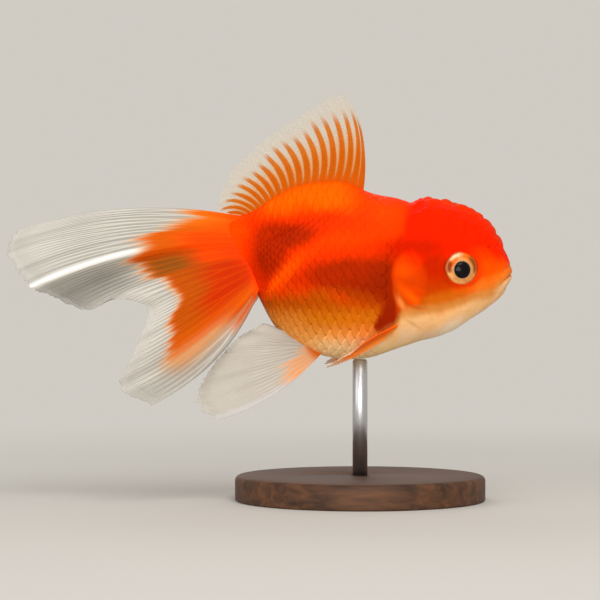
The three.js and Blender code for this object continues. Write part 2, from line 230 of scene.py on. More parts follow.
def back_layers(x, z, drift):
    """Orange back and tail stalk; flank hollows partly painted shade; a painted highlight on the ridge
    between them.
    """
    # deep red in the hollows between back, flank and tail and behind the gill cover: partly the skin's
    # colour, partly painted shade
    upper = 1.3 * blot(x, z, -13.6, 52.9, 6, 2.8) + 1.3 * blot(x, z, -18, 48.4, 3.4, 5.6)
    lower = 1.7 * blot(x, z, -0.5, 44.6, 10.8, 3.5) + 1.3 * blot(x, z, 3, 41, 4.5, 3)
    lower += 0.4 * blot(x, z, 6.2, 49.6, 2.8, 3)
    ridge = bell(z - ridge_highlight_line(x), 1.7) * smooth(9, 5, x) * smooth(-19.5, -18, x)
    return [
        (ORANGE, smooth(55.6, 60, z + 0.6 * drift) * smooth(4, -5, x) * smooth(-24, -17, x)),
        (BRIGHT_FLAME, smooth(-20, -25, x + drift)),
        (HOLLOW_SHADE_RED, 0.95 * np.minimum(upper, 1) * (1 - 0.06 * drift)),
        (DEEP_SHADE_RED, 0.93 * np.minimum(lower, 1) * (1 - 0.06 * drift)),
        # a darker spot of painted shade in the hollow behind the gill cover
        ((136, 28, 1), 0.8 * blot(x, z, 3.8, 43.4, 3.4, 3.4)),
        (BRIGHT_FLAME, 0.8 * blot(x, z, 4.5, 57.5, 4, 3.5)),
        # painted highlight along the flank's bulge, where it catches light from above, more orange towards
        # the tail
        ((255, 58, 0), 0.95 * ridge),
        ((255, 80, 0), 0.9 * ridge * smooth(-10, -14, x)),
    ]


def belly_layers(x, z, drift):
    """Tan belly with painted shade at its top and painted light lower down; a painted shadow by the gill
    cover.
    """
    past_shadow_wedge = x - 4.4 + 0.35 * np.clip(38 - z, 0, 3) + 0.4 * drift
    tan = smooth(1.8, -3, z - tan_line(x) + 0.6 * drift) * smooth(-21.5, -19, x)
    return [
        # tan belly: partly its own colour, partly painted shade at its top; buff and apricot paint it paler
        # downwards as light from below
        (TAN, tan),
        (BUFF, tan * smooth(39.6, 35.6, z)),
        (APRICOT, tan * smooth(36, 30.6, z)),
        (RIM, 0.6 * tan * smooth(39, 33, z) * smooth(-8, -14, x + 0.5 * drift)),
        # painted shadow: a dark red wedge behind the gill cover, above the belly
        ((148, 32, 2), smooth(-0.6, 0.6, past_shadow_wedge) * smooth(43, 41, z + 0.5 * drift)),
    ]


def head_layers(x, z, drift):
    """Cheek, the skin under the eye, the snout, the gill cover's plates with painted highlights, and the
    hood.
    """
    behind = x - 0.03 * (z - 45) - 0.5 * smooth(42, 39, z) + 0.1 * drift
    head = smooth(6.2, 7, behind) * smooth(53.5, 50.5, z)
    cover = smooth(1.2, 0.8, np.hypot((x - 9.5) / 3.3, (z - 43.8) / 5.8) + 0.07 * drift)
    cover = cover * (1 - 0.55 * smooth(9.5, 12.6, x + 0.3 * drift))
    nape = x - 9.6 + 0.35 * (58 - z)
    return [
        ((188, 31, 0), head),
        ((190, 58, 0), head * smooth(45.5, 41.5, z + 0.3 * drift)),
        (FLAME, head * smooth(16.5, 21, x + 0.3 * drift)),
        ((250, 84, 2), 0.9 * head * smooth(21.5, 25.5, x) * smooth(50, 45, z + drift)),
        ((222, 60, 2), cover),
        # painted highlight at the top of the gill cover
        ((246, 56, 1), 0.9 * cover * blot(x, z, 9.6, 47.6, 2.8, 2)),
        ((206, 61, 3), 0.8 * cover * blot(x, z, 10.4, 44, 3.4, 1.8)),
        ((184, 60, 3), 0.8 * cover * bell(x - 6.6, 0.8) * smooth(45, 42, z)),
        # painted highlights near the cover's rear edge and in a band above its hem
        ((244, 80, 1), 0.7 * cover * blot(x, z, 8.2, 45.8, 1.5, 1.3)),
        ((250, 92, 1), 0.9 * cover * blot(x, z + 0.75 * (x - 10), 10, 40.4, 2.5, 1)),
        (RED, smooth(-2, 1.6, z - crown_line(x) + drift) * smooth(-1, 1, nape + 0.3 * drift)),
        ((198, 25, 0), (1 - cover) * np.minimum(1.15 * blot(x, z, 10.8, 50.4, 7, 2.2), 1)),
    ]


def throat_layers(x, z, drift):
    """Throat and breast, brown orange to cream; painted shade in creases under the gill cover; painted light
    below.
    """
    below = throat_line(x) - z + 0.9 * smooth(25, 28, x) + 0.4 * drift
    front = smooth(-11, -3, x)
    return [
        # brown orange above the throat line, partly the skin's colour and partly painted shade where the side
        # turns under
        ((204, 98, 12), 0.9 * front * smooth(-3.2, -1, below) * smooth(24, 20, x) * smooth(10, 13.5, x)),
        ((238, 116, 28), 0.9 * front * smooth(-2.8, -0.8, below) * smooth(20, 24, x)),
        ((218, 138, 62), front * smooth(-1, 1, below)),
        (PEACH, front * smooth(0.8, 2.8, below)),
        (CREAM, front * smooth(3, 6, below) * (0.4 + 0.6 * smooth(11, 17, x))),
        # the edge of the membrane behind the cover, and painted shade along the cover's hem and in two
        # creases below it
        ((238, 134, 60), 0.9 * np.minimum(1.4 * blot(x, z + 1.1 * (x - 7.8), 7.8, 39.3, 0.8, 0.9), 1)),
        ((190, 88, 12), 0.7 * hem(x, z, 0.4)),
        ((150, 84, 38), 0.6 * bell(x - 7.2 - 0.45 * (z - 36.4), 0.3) * bell(z - 36.4, 1)),
        ((204, 138, 78), 0.5 * throat_crease(x, z)),
        # painted light: the breast and lower belly paler, as if lit from below
        (BREAST, 0.85 * smooth(-12, -5, x) * smooth(33.4, 30.4, z)),
    ]


def markings(points):
    """The colour of the skin and scales at points on the body."""
    x, y, z = np.moveaxis(points, -1, 0)
    drift = waves(points, 3, 11) * 0.8 + waves(points, 0.9, 12) * 0.35
    tint = linear(FLAME)
    for layers in (back_layers, belly_layers, head_layers, throat_layers):
        tint = overlaid(tint, *layers(x, z, drift))
    # painted light: a paler orange strip along the top of the hood, as lit edges of the wen's lumps
    hood_rim_light = 0.8 * smooth(11, 15, x) * bell(y, 3.6) * smooth(49, 51, z + drift)
    return overlaid(tint, ((218, 68, 6), hood_rim_light))


# ---- Meshes ----


def build(name, points, faces, tint, material, uv=None, solid=None, replaces=()):
    """A mesh object from points in millimetres, with a colour for each point, riding on the only body."""
    points = np.reshape(points, (-1, 3)) * MM
    mesh = bpy.data.meshes.new(name)
    mesh.from_pydata(points.tolist(), [], faces)
    mesh.update()
    mesh.shade_smooth()
    colours = np.ones((len(points), 4), np.float32)
    colours[:, :3] = np.reshape(tint, (-1, 3))
    layer = mesh.color_attributes.new("Tint", "FLOAT_COLOR", "POINT")
    layer.data.foreach_set("color", colours.ravel())
    if solid is not None:
        layer = mesh.attributes.new("Solid", "FLOAT", "POINT")
        layer.data.foreach_set("value", np.asarray(solid, np.float32))
    if uv is not None:
        corner = np.empty(len(mesh.loops), np.int32)
        mesh.loops.foreach_get("vertex_index", corner)
        layer = mesh.uv_layers.new(name="OFBake")
        layer.data.foreach_set("uv", uv(corner).astype(np.float32).ravel())
    thing = bpy.data.objects.new(name, mesh)
    bpy.context.scene.collection.objects.link(thing)
    mesh.materials.append(material)
    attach(thing, "root")
    if replaces:
        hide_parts(*replaces)


def tube_faces(rings, around):
    """Quads between closed rings of points, then a cap on the first ring and one on the last."""
    i, j = np.meshgrid(np.arange(rings - 1), np.arange(around), indexing="ij")
    a, b = i * around + j, i * around + (j + 1) % around
    quads = np.stack([a, b, b + around, a + around], -1).reshape(-1, 4).tolist()
    last = (rings - 1) * around
    return [*quads, range(around)[::-1], range(last, last + around)]


def sheet_faces(across, outward):
    """Quads of a closed sheet: a grid of points, the same grid behind it, and the rim between."""
    total = across * outward
    i, j = np.meshgrid(np.arange(across - 1), np.arange(outward - 1), indexing="ij")
    k = (i * outward + j).ravel()
    upper = np.stack([k, k + outward, k + outward + 1, k + 1], -1)
    rim = np.concatenate([
        np.arange(across) * outward,
        (across - 1) * outward + np.arange(1, outward),
        np.arange(across - 2, -1, -1) * outward + outward - 1,
        np.arange(outward - 2, 0, -1),
    ])
    after = np.roll(rim, -1)
    sides = np.stack([rim, rim + total, after + total, after], -1)
    return np.concatenate([upper, upper[:, ::-1] + total, sides])


# ---- Materials ----


def plug(tree, node, sockets):
    """Sets a node's input sockets to values, or links them to other nodes' output sockets."""
    for name, value in sockets.items():
        if isinstance(value, bpy.types.NodeSocket):
            tree.links.new(value, node.inputs[name])
        else:
            node.inputs[name].default_value = value


def add_node(tree, kind, sockets=(), **settings):
    """A new shader node with its settings, and its sockets as plug() takes them."""
    node = tree.nodes.new("ShaderNode" + kind)
    for name, value in settings.items():
        setattr(node, name, value)
    plug(tree, node, dict(sockets))
    return node


def object_place(tree, stretch=None):
    """The place in the object's own space, with a factor for each axis if they are given."""
    place = add_node(tree, "TexCoord").outputs["Object"]
    if stretch:
        place = add_node(tree, "Mapping", {"Vector": place, "Scale": stretch}).outputs["Vector"]
    return place


def noise(tree, place, scale, detail, distortion=0):
    sockets = {"Vector": place, "Scale": scale, "Detail": detail, "Distortion": distortion}
    return add_node(tree, "TexNoise", sockets).outputs["Fac"]


def ranged(tree, value, low, high):
    """A value of 0 to 1 turned into one of low to high."""
    return add_node(tree, "MapRange", {"Value": value, "To Min": low, "To Max": high}).outputs["Result"]


def bumped(tree, height, depth, strength):
    """The normal of a surface with a fine relief."""
    sockets = {"Height": height, "Distance": depth, "Strength": strength}
    return add_node(tree, "Bump", sockets).outputs["Normal"]


def new_material(name):
    """A material, its node tree and its shader."""
    material = bpy.data.materials.new(name)
    material.use_nodes = True
    return material, material.node_tree, material.node_tree.nodes["Principled BSDF"]


def surface_material(name, roughness, gloss, coat, grain, grain_depth, mottle, sheen_tint=(1, 1, 1),
                     see_through=False):
    """Skin, scale or membrane in its painted colours, with fine grain."""
    material, tree, shader = new_material(name)
    place = object_place(tree)
    fine = noise(tree, place, grain, 3)
    mottled = add_node(tree, "VectorMath", {
        0: add_node(tree, "VertexColor", layer_name="Tint").outputs["Color"],
        "Scale": ranged(tree, noise(tree, place, grain / 4, 4), 1 - mottle, 1 + mottle),
    }, operation="SCALE")
    plug(tree, shader, {
        "Base Color": mottled.outputs["Vector"],
        "Roughness": ranged(tree, fine, roughness * 0.8, roughness * 1.25),
        "Normal": bumped(tree, fine, grain_depth * MM, 0.6),
        "Specular IOR Level": gloss,
        "Specular Tint": (*sheen_tint, 1),
        "Coat Weight": coat,
        "Coat Roughness": 0.2,
    })
    if see_through:
        plug(tree, shader, {"Alpha": add_node(tree, "Attribute", attribute_name="Solid").outputs["Fac"]})
    return material


WARM = (1, 0.4, 0.1)
skin_material = surface_material("skin", 0.5, 0.035, 0, 2200, 0.05, 0.06, WARM)
scale_material = surface_material("scales", 0.44, 0.05, 0, 2600, 0.03, 0.05, WARM)
fin_material = surface_material("fin_membrane", 0.45, 0.05, 0, 2400, 0.03, 0.04, (1, 0.7, 0.4), True)
eye_material = surface_material("eye", 0.16, 0.12, 0.04, 5200, 0.01, 0.08)

SIDES = {"right": -1, "left": 1}

# ---- Skin ----

COAT = 0.2  # depth of the skin under the solids' faces, where the scales lie
HEAD_STEP, TRUNK_STEP = 0.165, 0.25  # between the skin's rings
HEAD_END = (7.5, 9)  # sections between which one step turns into the other
RING_SAMPLES = 1600  # of the body's length
AROUND = 276
EYE_OPENING = (3.47, 2.84)  # half width and half height
# x, z of two points on the lower edge of the wen, and on the cleft of the mouth
WEN_LINE = (9.6, 56.6, 29.6, 49.2)
MOUTH_LINE = (30.6, 45.4, 25.6, 41.6)
MOUTH_CORNER = (27.9, 28.9)  # x where the cleft starts, and where it has its full depth
NOSTRIL = (25.4, 50.4)
WEN_SECTIONS, WEN_HALF_TURN = (2.6, 7.2), 1.5


def line_distance(x, z, line):
    """Distance above the line through two x, z points."""
    x0, z0, x1, z1 = line
    length = math.hypot(x1 - x0, z1 - z0) * (1 if x1 > x0 else -1)
    return ((x1 - x0) * (z - z0) - (z1 - z0) * (x - x0)) / length


def box_middle(node):
    low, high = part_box(node)
    return np.array((low + high) / 2) / MM


eye_places = {side: box_middle(f"eye_{name}") for name, side in SIDES.items()}
EYE_TURN = math.radians(15)
eye_ways = {side: np.array([math.sin(EYE_TURN), side * math.cos(EYE_TURN), 0]) for side in SIDES.values()}


def socket(points, side):
    """How far points lie out of the head along an eye's axis, and outside the edge of its opening."""
    offset = points - eye_places[side]
    along = offset @ eye_ways[side]
    upward = offset[..., 2]
    forward = offset[..., 0] * math.cos(EYE_TURN) - side * offset[..., 1] * math.sin(EYE_TURN)
    ratio = np.hypot(forward / EYE_OPENING[0], upward / EYE_OPENING[1])
    return along, (ratio - 1) * EYE_OPENING[1]


gill_middle = box_middle("gill_cover_right")
GILL_HALF = (3.5, 8)  # half width and half height of the rim's oval


def gill_edge(x, z):
    """Roughly how far a point is outside the rim of a gill cover."""
    offset_x, offset_z = (x - gill_middle[0]) / GILL_HALF[0], (z - gill_middle[2]) / GILL_HALF[1]
    ratio = np.maximum(np.hypot(offset_x, offset_z), 1e-6)
    return (ratio - 1) * ratio / np.hypot(offset_x / GILL_HALF[0], offset_z / GILL_HALF[1]).clip(1e-6)


def wen_nodules(step, turn, sizes):
    """The x, y, z and size of each lump of the wen, on the body's surface."""
    lumps = []
    for row, s in enumerate(np.arange(*WEN_SECTIONS, step)):
        for k in np.arange(-WEN_HALF_TURN, WEN_HALF_TURN + 0.01, turn):
            angle = math.pi + k + 0.5 * turn * (row % 2) + rng.normal() * turn / 3.5
            place = body_point(s + rng.normal() * step / 3.5, angle)
            lumps.append((*place, rng.uniform(*sizes)))
    return lumps


# height and lumps, the large ones and the small ones on them
NODULES = ((0.44, wen_nodules(0.44, 0.31, (0.9, 1.6))), (0.08, wen_nodules(0.25, 0.17, (0.6, 0.9))))


def wen_relief(points, x, z):
    """The wen's lumps, and the crease behind it."""
    out = -0.3 * bell(x - 10.1 - 0.1 * (z - 58), 0.8) * smooth(54.5, 57.5, z)
    crown = smooth(-1.6, 1.4, line_distance(x, z, WEN_LINE)) * smooth(9.4, 10.8, x)
    near = np.where(crown > 0)
    for height, lumps in NODULES:
        lump = np.zeros(len(near[0]))
        for *place, size in lumps:
            away = np.linalg.norm(points[near] - place, axis=-1) / size
            lump = np.maximum(lump, 1 - away * away)
        out[near] += height * crown[near] * (lump**0.7 - 0.45)
    return out


def socket_relief(points):
    """The hollows for the eyes, each with a raised rim and a crease round it."""
    out = 0
    for side in SIDES.values():
        along, edge = socket(points, side)
        rim = 0.24 * bell(edge - 0.3, 0.34) - 0.1 * bell(edge - 1.3, 0.6)
        out += smooth(-1, 0, along) * (rim - 1.9 * smooth(0.1, -0.25, edge))
    return out


def gill_relief(x, y, z):
    """The gill cover's edge over the shoulder, the fold between its plates, its hem and creases."""
    edge = gill_edge(x, z)
    flank = smooth(4, 6, np.abs(y))
    rear = smooth(2.6, -1, x - gill_middle[0]) * flank * smooth(53, 50, z)
    out = 0.22 * rear * smooth(-3.2, -0.3, edge) * smooth(0.14, -0.14, edge) * smooth(37, 41.5, z)
    out -= 0.34 * rear * smooth(-0.1, 0.2, edge) * np.exp(-np.maximum(edge, 0) / 0.9) * smooth(38, 42, z)
    out -= 0.1 * flank * smooth(0.3, -0.6, edge) * bell(z - 42.9 + 0.35 * (x - 10), 0.4)
    out -= flank * (0.12 * hem(x, z, 0.3) + 0.1 * throat_crease(x, z))
    # cheek crease from behind the eye to the jaw, and the edge of the gill membrane under the throat
    out -= 0.1 * flank * bell(x - 13.6 + 0.02 * (z - 44) ** 2, 0.6) * smooth(50, 47, z) * smooth(38, 40, z)
    membrane = z - 36.2 - 0.15 * (x - 8) - 0.008 * (x - 8) ** 2
    return out - 0.1 * bell(membrane, 0.8) * smooth(8.5, 11.5, x) * smooth(24.5, 20, x)


def snout_relief(x, z):
    """Lips along the cleft, a fold above and one below, and nostrils with a raised flap in front."""
    cleft = line_distance(x, z, MOUTH_LINE)
    out = smooth(*MOUTH_CORNER, x) * (0.12 * bell(np.abs(cleft) - 0.55, 0.36) - 0.42 * bell(cleft, 0.15))
    out -= smooth(27, 28.4, x) * (0.13 * bell(cleft - 1.6, 0.34) + 0.22 * bell(cleft + 1.6, 0.36))
    out -= 0.55 * bell(np.hypot(x - NOSTRIL[0], (z - NOSTRIL[1]) * 1.2), 0.42)
    return out + 0.2 * bell(np.hypot(x - NOSTRIL[0] - 0.65, (z - NOSTRIL[1]) * 0.8), 0.42)


def relief(points):
    """How far the skin stands out from the smooth body, in millimetres."""
    x, y, z = np.moveaxis(points, -1, 0)
    out = (0.05 * waves(points, 2.6, 21) + 0.02 * waves(points, 0.8, 22)) * (0.2 + 0.8 * smooth(6, 9, x))
    return out + wen_relief(points, x, z) + socket_relief(points) + gill_relief(x, y, z) + snout_relief(x, z)


def step_lengths(line):
    """The distances between a line's points."""
    return np.linalg.norm(np.diff(line, axis=0), axis=1)


def ring_places():
    """Section numbers of the skin's rings, closer together on the head."""
    fine = np.linspace(0, LAST, RING_SAMPLES)
    steps = sum(step_lengths(body_point(fine, angle)) for angle in (0, math.pi / 2, math.pi)) / 3
    middle = (fine[1:] + fine[:-1]) / 2
    wanted = steps / (HEAD_STEP + (TRUNK_STEP - HEAD_STEP) * smooth(*HEAD_END, middle))
    run = np.concatenate([[0], np.cumsum(wanted)])
    return np.interp(np.linspace(0, run[-1], int(run[-1])), run, fine)


def unwrapped(s, angle):
    """Where a point of the body lies on the unwrap of the skin, from 0 to 1 each way."""
    return np.stack([0.01 + 0.98 * s / LAST, 0.01 + 0.98 * angle / TAU], -1)


def add_skin():
    s = ring_places()
    angle = np.linspace(0, TAU, AROUND, endpoint=False)
    base = body_point(s[:, None], angle[None, :], -COAT)
    normal = grid_normals(base, True)
    if (normal[:, AROUND // 2, 2] < 0).mean() > 0.5:
        normal = -normal
    points = base + normal * relief(base)[..., None]
    x, z = base[..., 0], base[..., 2]
    tint = markings(base)
    for side in SIDES.values():
        along, edge = socket(base, side)
        # painted shade: dark skin inside the eye opening, in the recess round the eyeball
        tint = overlaid(tint, ((70, 24, 8), smooth(-1, 0, along) * smooth(0.05, -0.2, edge)))
    # cream lips and a paler line by the cleft; painted shade in the fold under the lower lip, along the cleft
    # and in each nostril's pit
    cleft = line_distance(x, z, MOUTH_LINE)
    tint = overlaid(
        tint,
        ((248, 206, 156), 0.85 * smooth(0.1, -0.5, cleft) * smooth(25.4, 29.4, x)),
        ((216, 136, 78), 0.4 * bell(cleft + 1.65, 0.4) * smooth(26.4, 28.4, x)),
        ((232, 150, 96), 0.4 * bell(cleft + 0.35, 0.3) * smooth(27, 29.4, x)),
        ((190, 96, 52), 0.5 * bell(cleft, 0.14) * smooth(*MOUTH_CORNER, x)),
        ((176, 36, 2), 0.6 * bell(np.hypot(x - NOSTRIL[0], z - NOSTRIL[1]), 0.35)),
    )

    def uv(corner):
        """Places on the unwrap; a quad that closes its ring ends at a full turn and not at 0."""
        ring, column = np.divmod(corner, AROUND)
        turn = angle[column]
        quads = 4 * (len(s) - 1) * AROUND
        closing = np.repeat(column[:quads:4] == AROUND - 1, 4)
        turn[:quads][closing & (column[:quads] == 0)] = TAU
        return unwrapped(s[ring], turn)

    flesh = ["head", "wen", "lower_jaw", "trunk", "tail_stalk", "gill_cover_right", "gill_cover_left"]
    faces = tube_faces(len(s), AROUND)
    build("skin", points, faces, tint, skin_material, uv=uv, replaces=flesh)


# ---- Scales ----

COLUMN = 1  # from one column to the next; every other column is shifted by half a scale
ROWS = 28  # scales round the body in each column
FIRST_COLUMN = 0.4
SCALE_LENGTH = 2.7
SCALE_GRID = (7, 6)  # points across and along a scale
SCALE_RUN = (7.5, LAST - 0.15, 900)  # sections between which the columns run, and samples of it
PATCH = 0.003  # width of a scale's patch of the bake's map


def scale_places(section, length):
    """Each scale's distance along the flank, its angle, and how deep shoulder and gill cover bury it."""
    found = []
    for i, start in enumerate(np.arange(FIRST_COLUMN, length - SCALE_LENGTH, COLUMN)):
        for j in range(ROWS):
            angle = (j + 0.5 * (i % 2) + 0.25) * TAU / ROWS
            place = body_point(section(start), angle)
            tip = body_point(section(start + SCALE_LENGTH), angle)
            from_nape = 7.8 + 0.1 * (place[2] - 45) - place[0]
            if from_nape > 0 and gill_edge(tip[0], tip[2]) > 0.4:
                at_cover = smooth(1.3, 0.1, gill_edge(place[0], place[2]))
                found.append((start, angle, 0.12 * smooth(2.4, 0, from_nape) + 0.3 * at_cover))
    return np.array(found).T


def surface_normals(base, s, angle):
    """Unit normals of the body, outwards, at points on the skin."""
    step = 1e-3
    slope_s = body_point(s + step, angle, -COAT) - base
    slope_a = body_point(s, angle + step, -COAT) - base
    normal = np.cross(slope_a, slope_s)
    normal /= np.linalg.norm(normal, axis=-1, keepdims=True)
    outward = base - body_point(s, angle, -COAT - 1)
    return normal * np.sign((normal * outward).sum(-1, keepdims=True))


def add_scales():
    """Thin overlapping plates, each with a rounded free edge that stands out a little."""
    fine = np.linspace(*SCALE_RUN)
    run = np.concatenate([[0], np.cumsum(step_lengths(body_point(fine, math.pi / 2)))])

    def section(distance):
        return np.interp(distance, run, fine)

    starts, turns, buried = scale_places(section, run[-1])
    count = len(starts)
    across, along = SCALE_GRID
    u, v = np.meshgrid(np.linspace(-1, 1, across), np.linspace(0, 1, along), indexing="ij")
    shift, twist, rise = rng.normal(size=(count, 3)).T[..., None, None]
    start = starts[:, None, None] + 0.05 * shift
    rounded = 1 - 0.36 * u**2
    s = section(start + SCALE_LENGTH * v * rounded + 0.25 * SCALE_LENGTH * u**2 * (1 - v))
    angle = turns[:, None, None] + 0.006 * twist + u * (0.5 + 0.04 * v) * TAU / ROWS
    base = body_point(s, angle, -COAT)
    normal = surface_normals(base, s, angle)
    root = body_point(section(starts), turns)
    stand_out = 0.038 + 0.016 * smooth(46, 39, root[:, 2])[:, None, None]
    height = -0.006 + stand_out * v**0.8 - 0.035 * u**4 + 0.003 * rise
    height = height - buried[:, None, None] * (1 - 0.6 * v)
    thickness = 0.03 + 0.06 * (1 - v)
    top = base + normal * height[..., None]
    under = base + normal * (height - thickness)[..., None]
    points = np.concatenate([top.reshape(count, -1, 3), under.reshape(count, -1, 3)], 1)
    each = across * along
    faces = (sheet_faces(across, along) + (np.arange(count) * 2 * each)[:, None, None]).reshape(-1, 4)
    facing = np.cross(top[0, 1, 0] - top[0, 0, 0], top[0, 0, 1] - top[0, 0, 0])
    if facing @ normal[0, 0, 0] < 0:
        faces = faces[:, ::-1]
    shade = 0.95 + 0.07 * v - 0.02 * u**2 + 0.02 * shift
    tint = markings(0.25 * root[:, None, None] + 0.75 * top) * shade[..., None]
    tint = np.concatenate([tint.reshape(count, -1, 3)] * 2, 1)
    patch = np.concatenate([np.stack([u, 2 * v - 1], -1).reshape(-1, 2)] * 2)
    patch[each:, 0] *= 0.5
    uvs = (unwrapped(section(starts), turns % TAU)[:, None] + patch * PATCH / 2).reshape(-1, 2)
    build("scales", points, faces.tolist(), tint, scale_material,
          uv=lambda corner: uvs[corner])


# ---- Fins ----

DORSAL_SECTIONS = (9.35, 15)  # where the dorsal fin's root starts and ends
LEFT_TAIL_SPREAD = 0.88
FIN_SINK = 0.05  # depth of the root in the body, as a share of the fin's length
RAY_WIDTH = 0.11  # at the root, as a share of the space between rays


def dorsal_root(a):
    first, last = DORSAL_SECTIONS
    s = first + (last - first) * a
    return np.stack([of_section[0](s), np.zeros_like(s), of_section[1](s) - 1.2], -1)


# Each fin's root and tip are lines from one edge ray at 0 to the other at 1. Bow is how far the rays bend, as
# a share of their length, and flare is how late they spread to the side.
FINS = {
    "dorsal": {
        "root": dorsal_root,
        "tip": path((0, -0.6, 0, 77.6), (0.06, -2.4, 0, 80.6), (0.13, -4.6, 0, 81.8), (0.25, -8.8, 0.4, 79.8),
                    (0.4, -14, 0.6, 76.2), (0.55, -19.2, 0.6, 72.6), (0.7, -23.8, 0.4, 68.4),
                    (0.85, -27.2, 0.2, 63.6), (1, -29, 0, 58.2)),
        "bow": curve((0, -0.06), (0.1, -0.12), (0.4, -0.14), (0.7, -0.08), (1, -0.05)), "flare": 2,
    },
    "pectoral": {
        "root": path((0, 9.2, 6.2, 35.8), (1, 7.2, 5.6, 34)),
        "tip": path((0, -2.2, 17.6, 29.6), (0.35, -5.2, 16.2, 28), (0.7, -7, 12.6, 26.8),
                    (1, -4.6, 10.4, 27.4)),
        "bow": curve((0, -0.05), (1, 0.03)),
    },
    "pelvic": {
        "root": path((0, -8.2, 2.2, 28.9), (1, -11.2, 2.6, 31.6)),
        "tip": path((0, -28.4, 7.6, 16.4), (0.12, -31.2, 7.2, 17.6), (0.27, -32.8, 6.6, 20.6),
                    (0.45, -31.4, 5.6, 24.6), (0.65, -28, 4.8, 29), (0.8, -24.4, 4.4, 32.6),
                    (1, -19.6, 4, 35.4)),
        "bow": curve((0, 0.075), (0.5, 0.02), (1, -0.04)), "flare": 1.2,
    },
    "anal": {
        "root": path((0, -20, 0.9, 41), (1, -22.2, 0.9, 45.4)),
        "tip": path((0, -26.2, 1.6, 34.6), (0.25, -28.2, 1.7, 35.4), (0.6, -29.2, 1.5, 38.4),
                    (1, -27.8, 1.2, 43.4)),
        "bow": curve((0, 0.06), (1, -0.02)),
    },
    "tail": {
        "root": path((0, -23.6, 0.75, 56.6), (1, -20, 2.5, 42.4)),
        "tip": path((0, -67, 1.8, 54.4), (0.08, -69.6, 3.6, 52.2), (0.17, -70, 6.2, 49.2),
                    (0.27, -68, 9.6, 46), (0.36, -64.4, 13.4, 42.2), (0.45, -60.4, 9.8, 40.2),
                    (0.53, -54.6, 7.6, 38), (0.6, -48.8, 7.6, 40), (0.66, -42.4, 8.2, 38.4),
                    (0.75, -43.2, 11, 33.6), (0.84, -46, 13.8, 27), (0.91, -47.2, 15, 22.8),
                    (1, -41.4, 13.6, 19.2)),
        "bow": curve((0, -0.065), (0.5, -0.06), (0.72, -0.01), (1, 0.1)), "flare": 1.25,
    },
}


def fan_point(fin, side, spread, a, r):
    """The point of a fin's middle surface on ray a from 0 to 1, at r from its root at 0 to its tip at 1."""
    start, end = fin["root"](a), fin["tip"](a)
    line = end - start
    bend = 4 * fin["bow"](a) * r * (1 - r)
    x = start[..., 0] + line[..., 0] * r - line[..., 2] * bend
    y = side * spread * (start[..., 1] + line[..., 1] * np.maximum(r, 0) ** fin.get("flare", 1))
    z = start[..., 2] + line[..., 2] * r + line[..., 0] * bend
    return np.stack([x, y, z], -1)


def rays(a, r, count, forks):
    """Distance to the nearest ray, in spaces between rays. Rays divide in two at each r in forks."""
    t = np.abs((a * count) % 1 - 0.5)
    width = 0.5
    for at in forks:
        width /= 2
        t = np.abs(t - width * smooth(at, at + 0.3, r))
    return t


def streaks(a, count, seed, size=1.1):
    """A random number of about -1 to 1 that changes from ray to ray."""
    return waves(np.stack([a * count, a * 0, a * 0], -1), size, seed)


def add_fin(name, kind, side, nodes, count, forks, grid, paint, *, seed, spread=1, thick=(1, 0.16),
            rib=0.07, pleat=0.05, ruffle=0.2, ragged=0.02, row=lambda a, r: a):
    """A fin as one closed sheet of membrane, thicker at its root, with raised rays and a ragged edge."""
    across, outward = grid
    a, r = np.meshgrid(np.linspace(0, 1, across), np.linspace(0, 1, outward), indexing="ij")
    edge = 1 - ragged * (0.55 + 0.25 * streaks(a, 40, seed, 1.2) + 0.2 * streaks(a, 40, seed + 1, 0.35))
    middle = fan_point(FINS[kind], side, spread, a, -FIN_SINK + (edge + FIN_SINK) * r)
    normal = grid_normals(middle, False)
    ray = bell(rays(row(a, r), r, count, forks), RAY_WIDTH * (1 - 0.62 * r))
    half = (thick[0] * np.exp(-r / 0.11) + thick[1] * (1 - 0.5 * r)) / 2 + rib * ray * (1 - 0.6 * r)
    half *= 1 - 0.6 * smooth(0.96, 1, r)
    fold = ruffle * smooth(0.15, 0.9, r) * waves(np.stack([a * 22, r * 3, r * 0], -1), 1.1, seed + 2)
    fold += pleat * smooth(0.3, 1, r) * np.cos(TAU * row(a, r) * count)
    points = [middle + normal * (fold + way * half)[..., None] for way in (1, -1)]
    tint, solid = paint(a, r, ray)
    flat = np.stack([a, r], -1).reshape(-1, 2) * (0.48, 0.98)
    uvs = np.concatenate([flat + (0.01, 0.01), flat + (0.51, 0.01)])
    build(name, points, sheet_faces(across, outward).tolist(), [tint] * 2, fin_material,
          uv=lambda corner: uvs[corner], solid=np.tile(np.clip(solid, 0, 1).ravel(), 2), replaces=nodes)


DORSAL_RAYS = 21
DORSAL_LEAN = 0.22  # share of the fin by which its rays lean back from root to tip


def dorsal_row(a, r):
    """Where a point lies along the row of rays, which lean back and are broader in front."""
    row = a / (1 + DORSAL_LEAN * r)
    return row - 0.008 + 0.02 * np.exp(-row / 0.05)


# how far the orange reaches out along each ray
tail_orange = curve((0, 0.26), (0.1, 0.25), (0.17, 0.29), (0.28, 0.43), (0.36, 0.51), (0.44, 0.56),
                    (0.52, 0.59), (0.6, 0.64), (0.66, 0.7), (0.75, 0.71), (0.82, 0.71), (0.9, 0.67),
                    (1, 0.62))


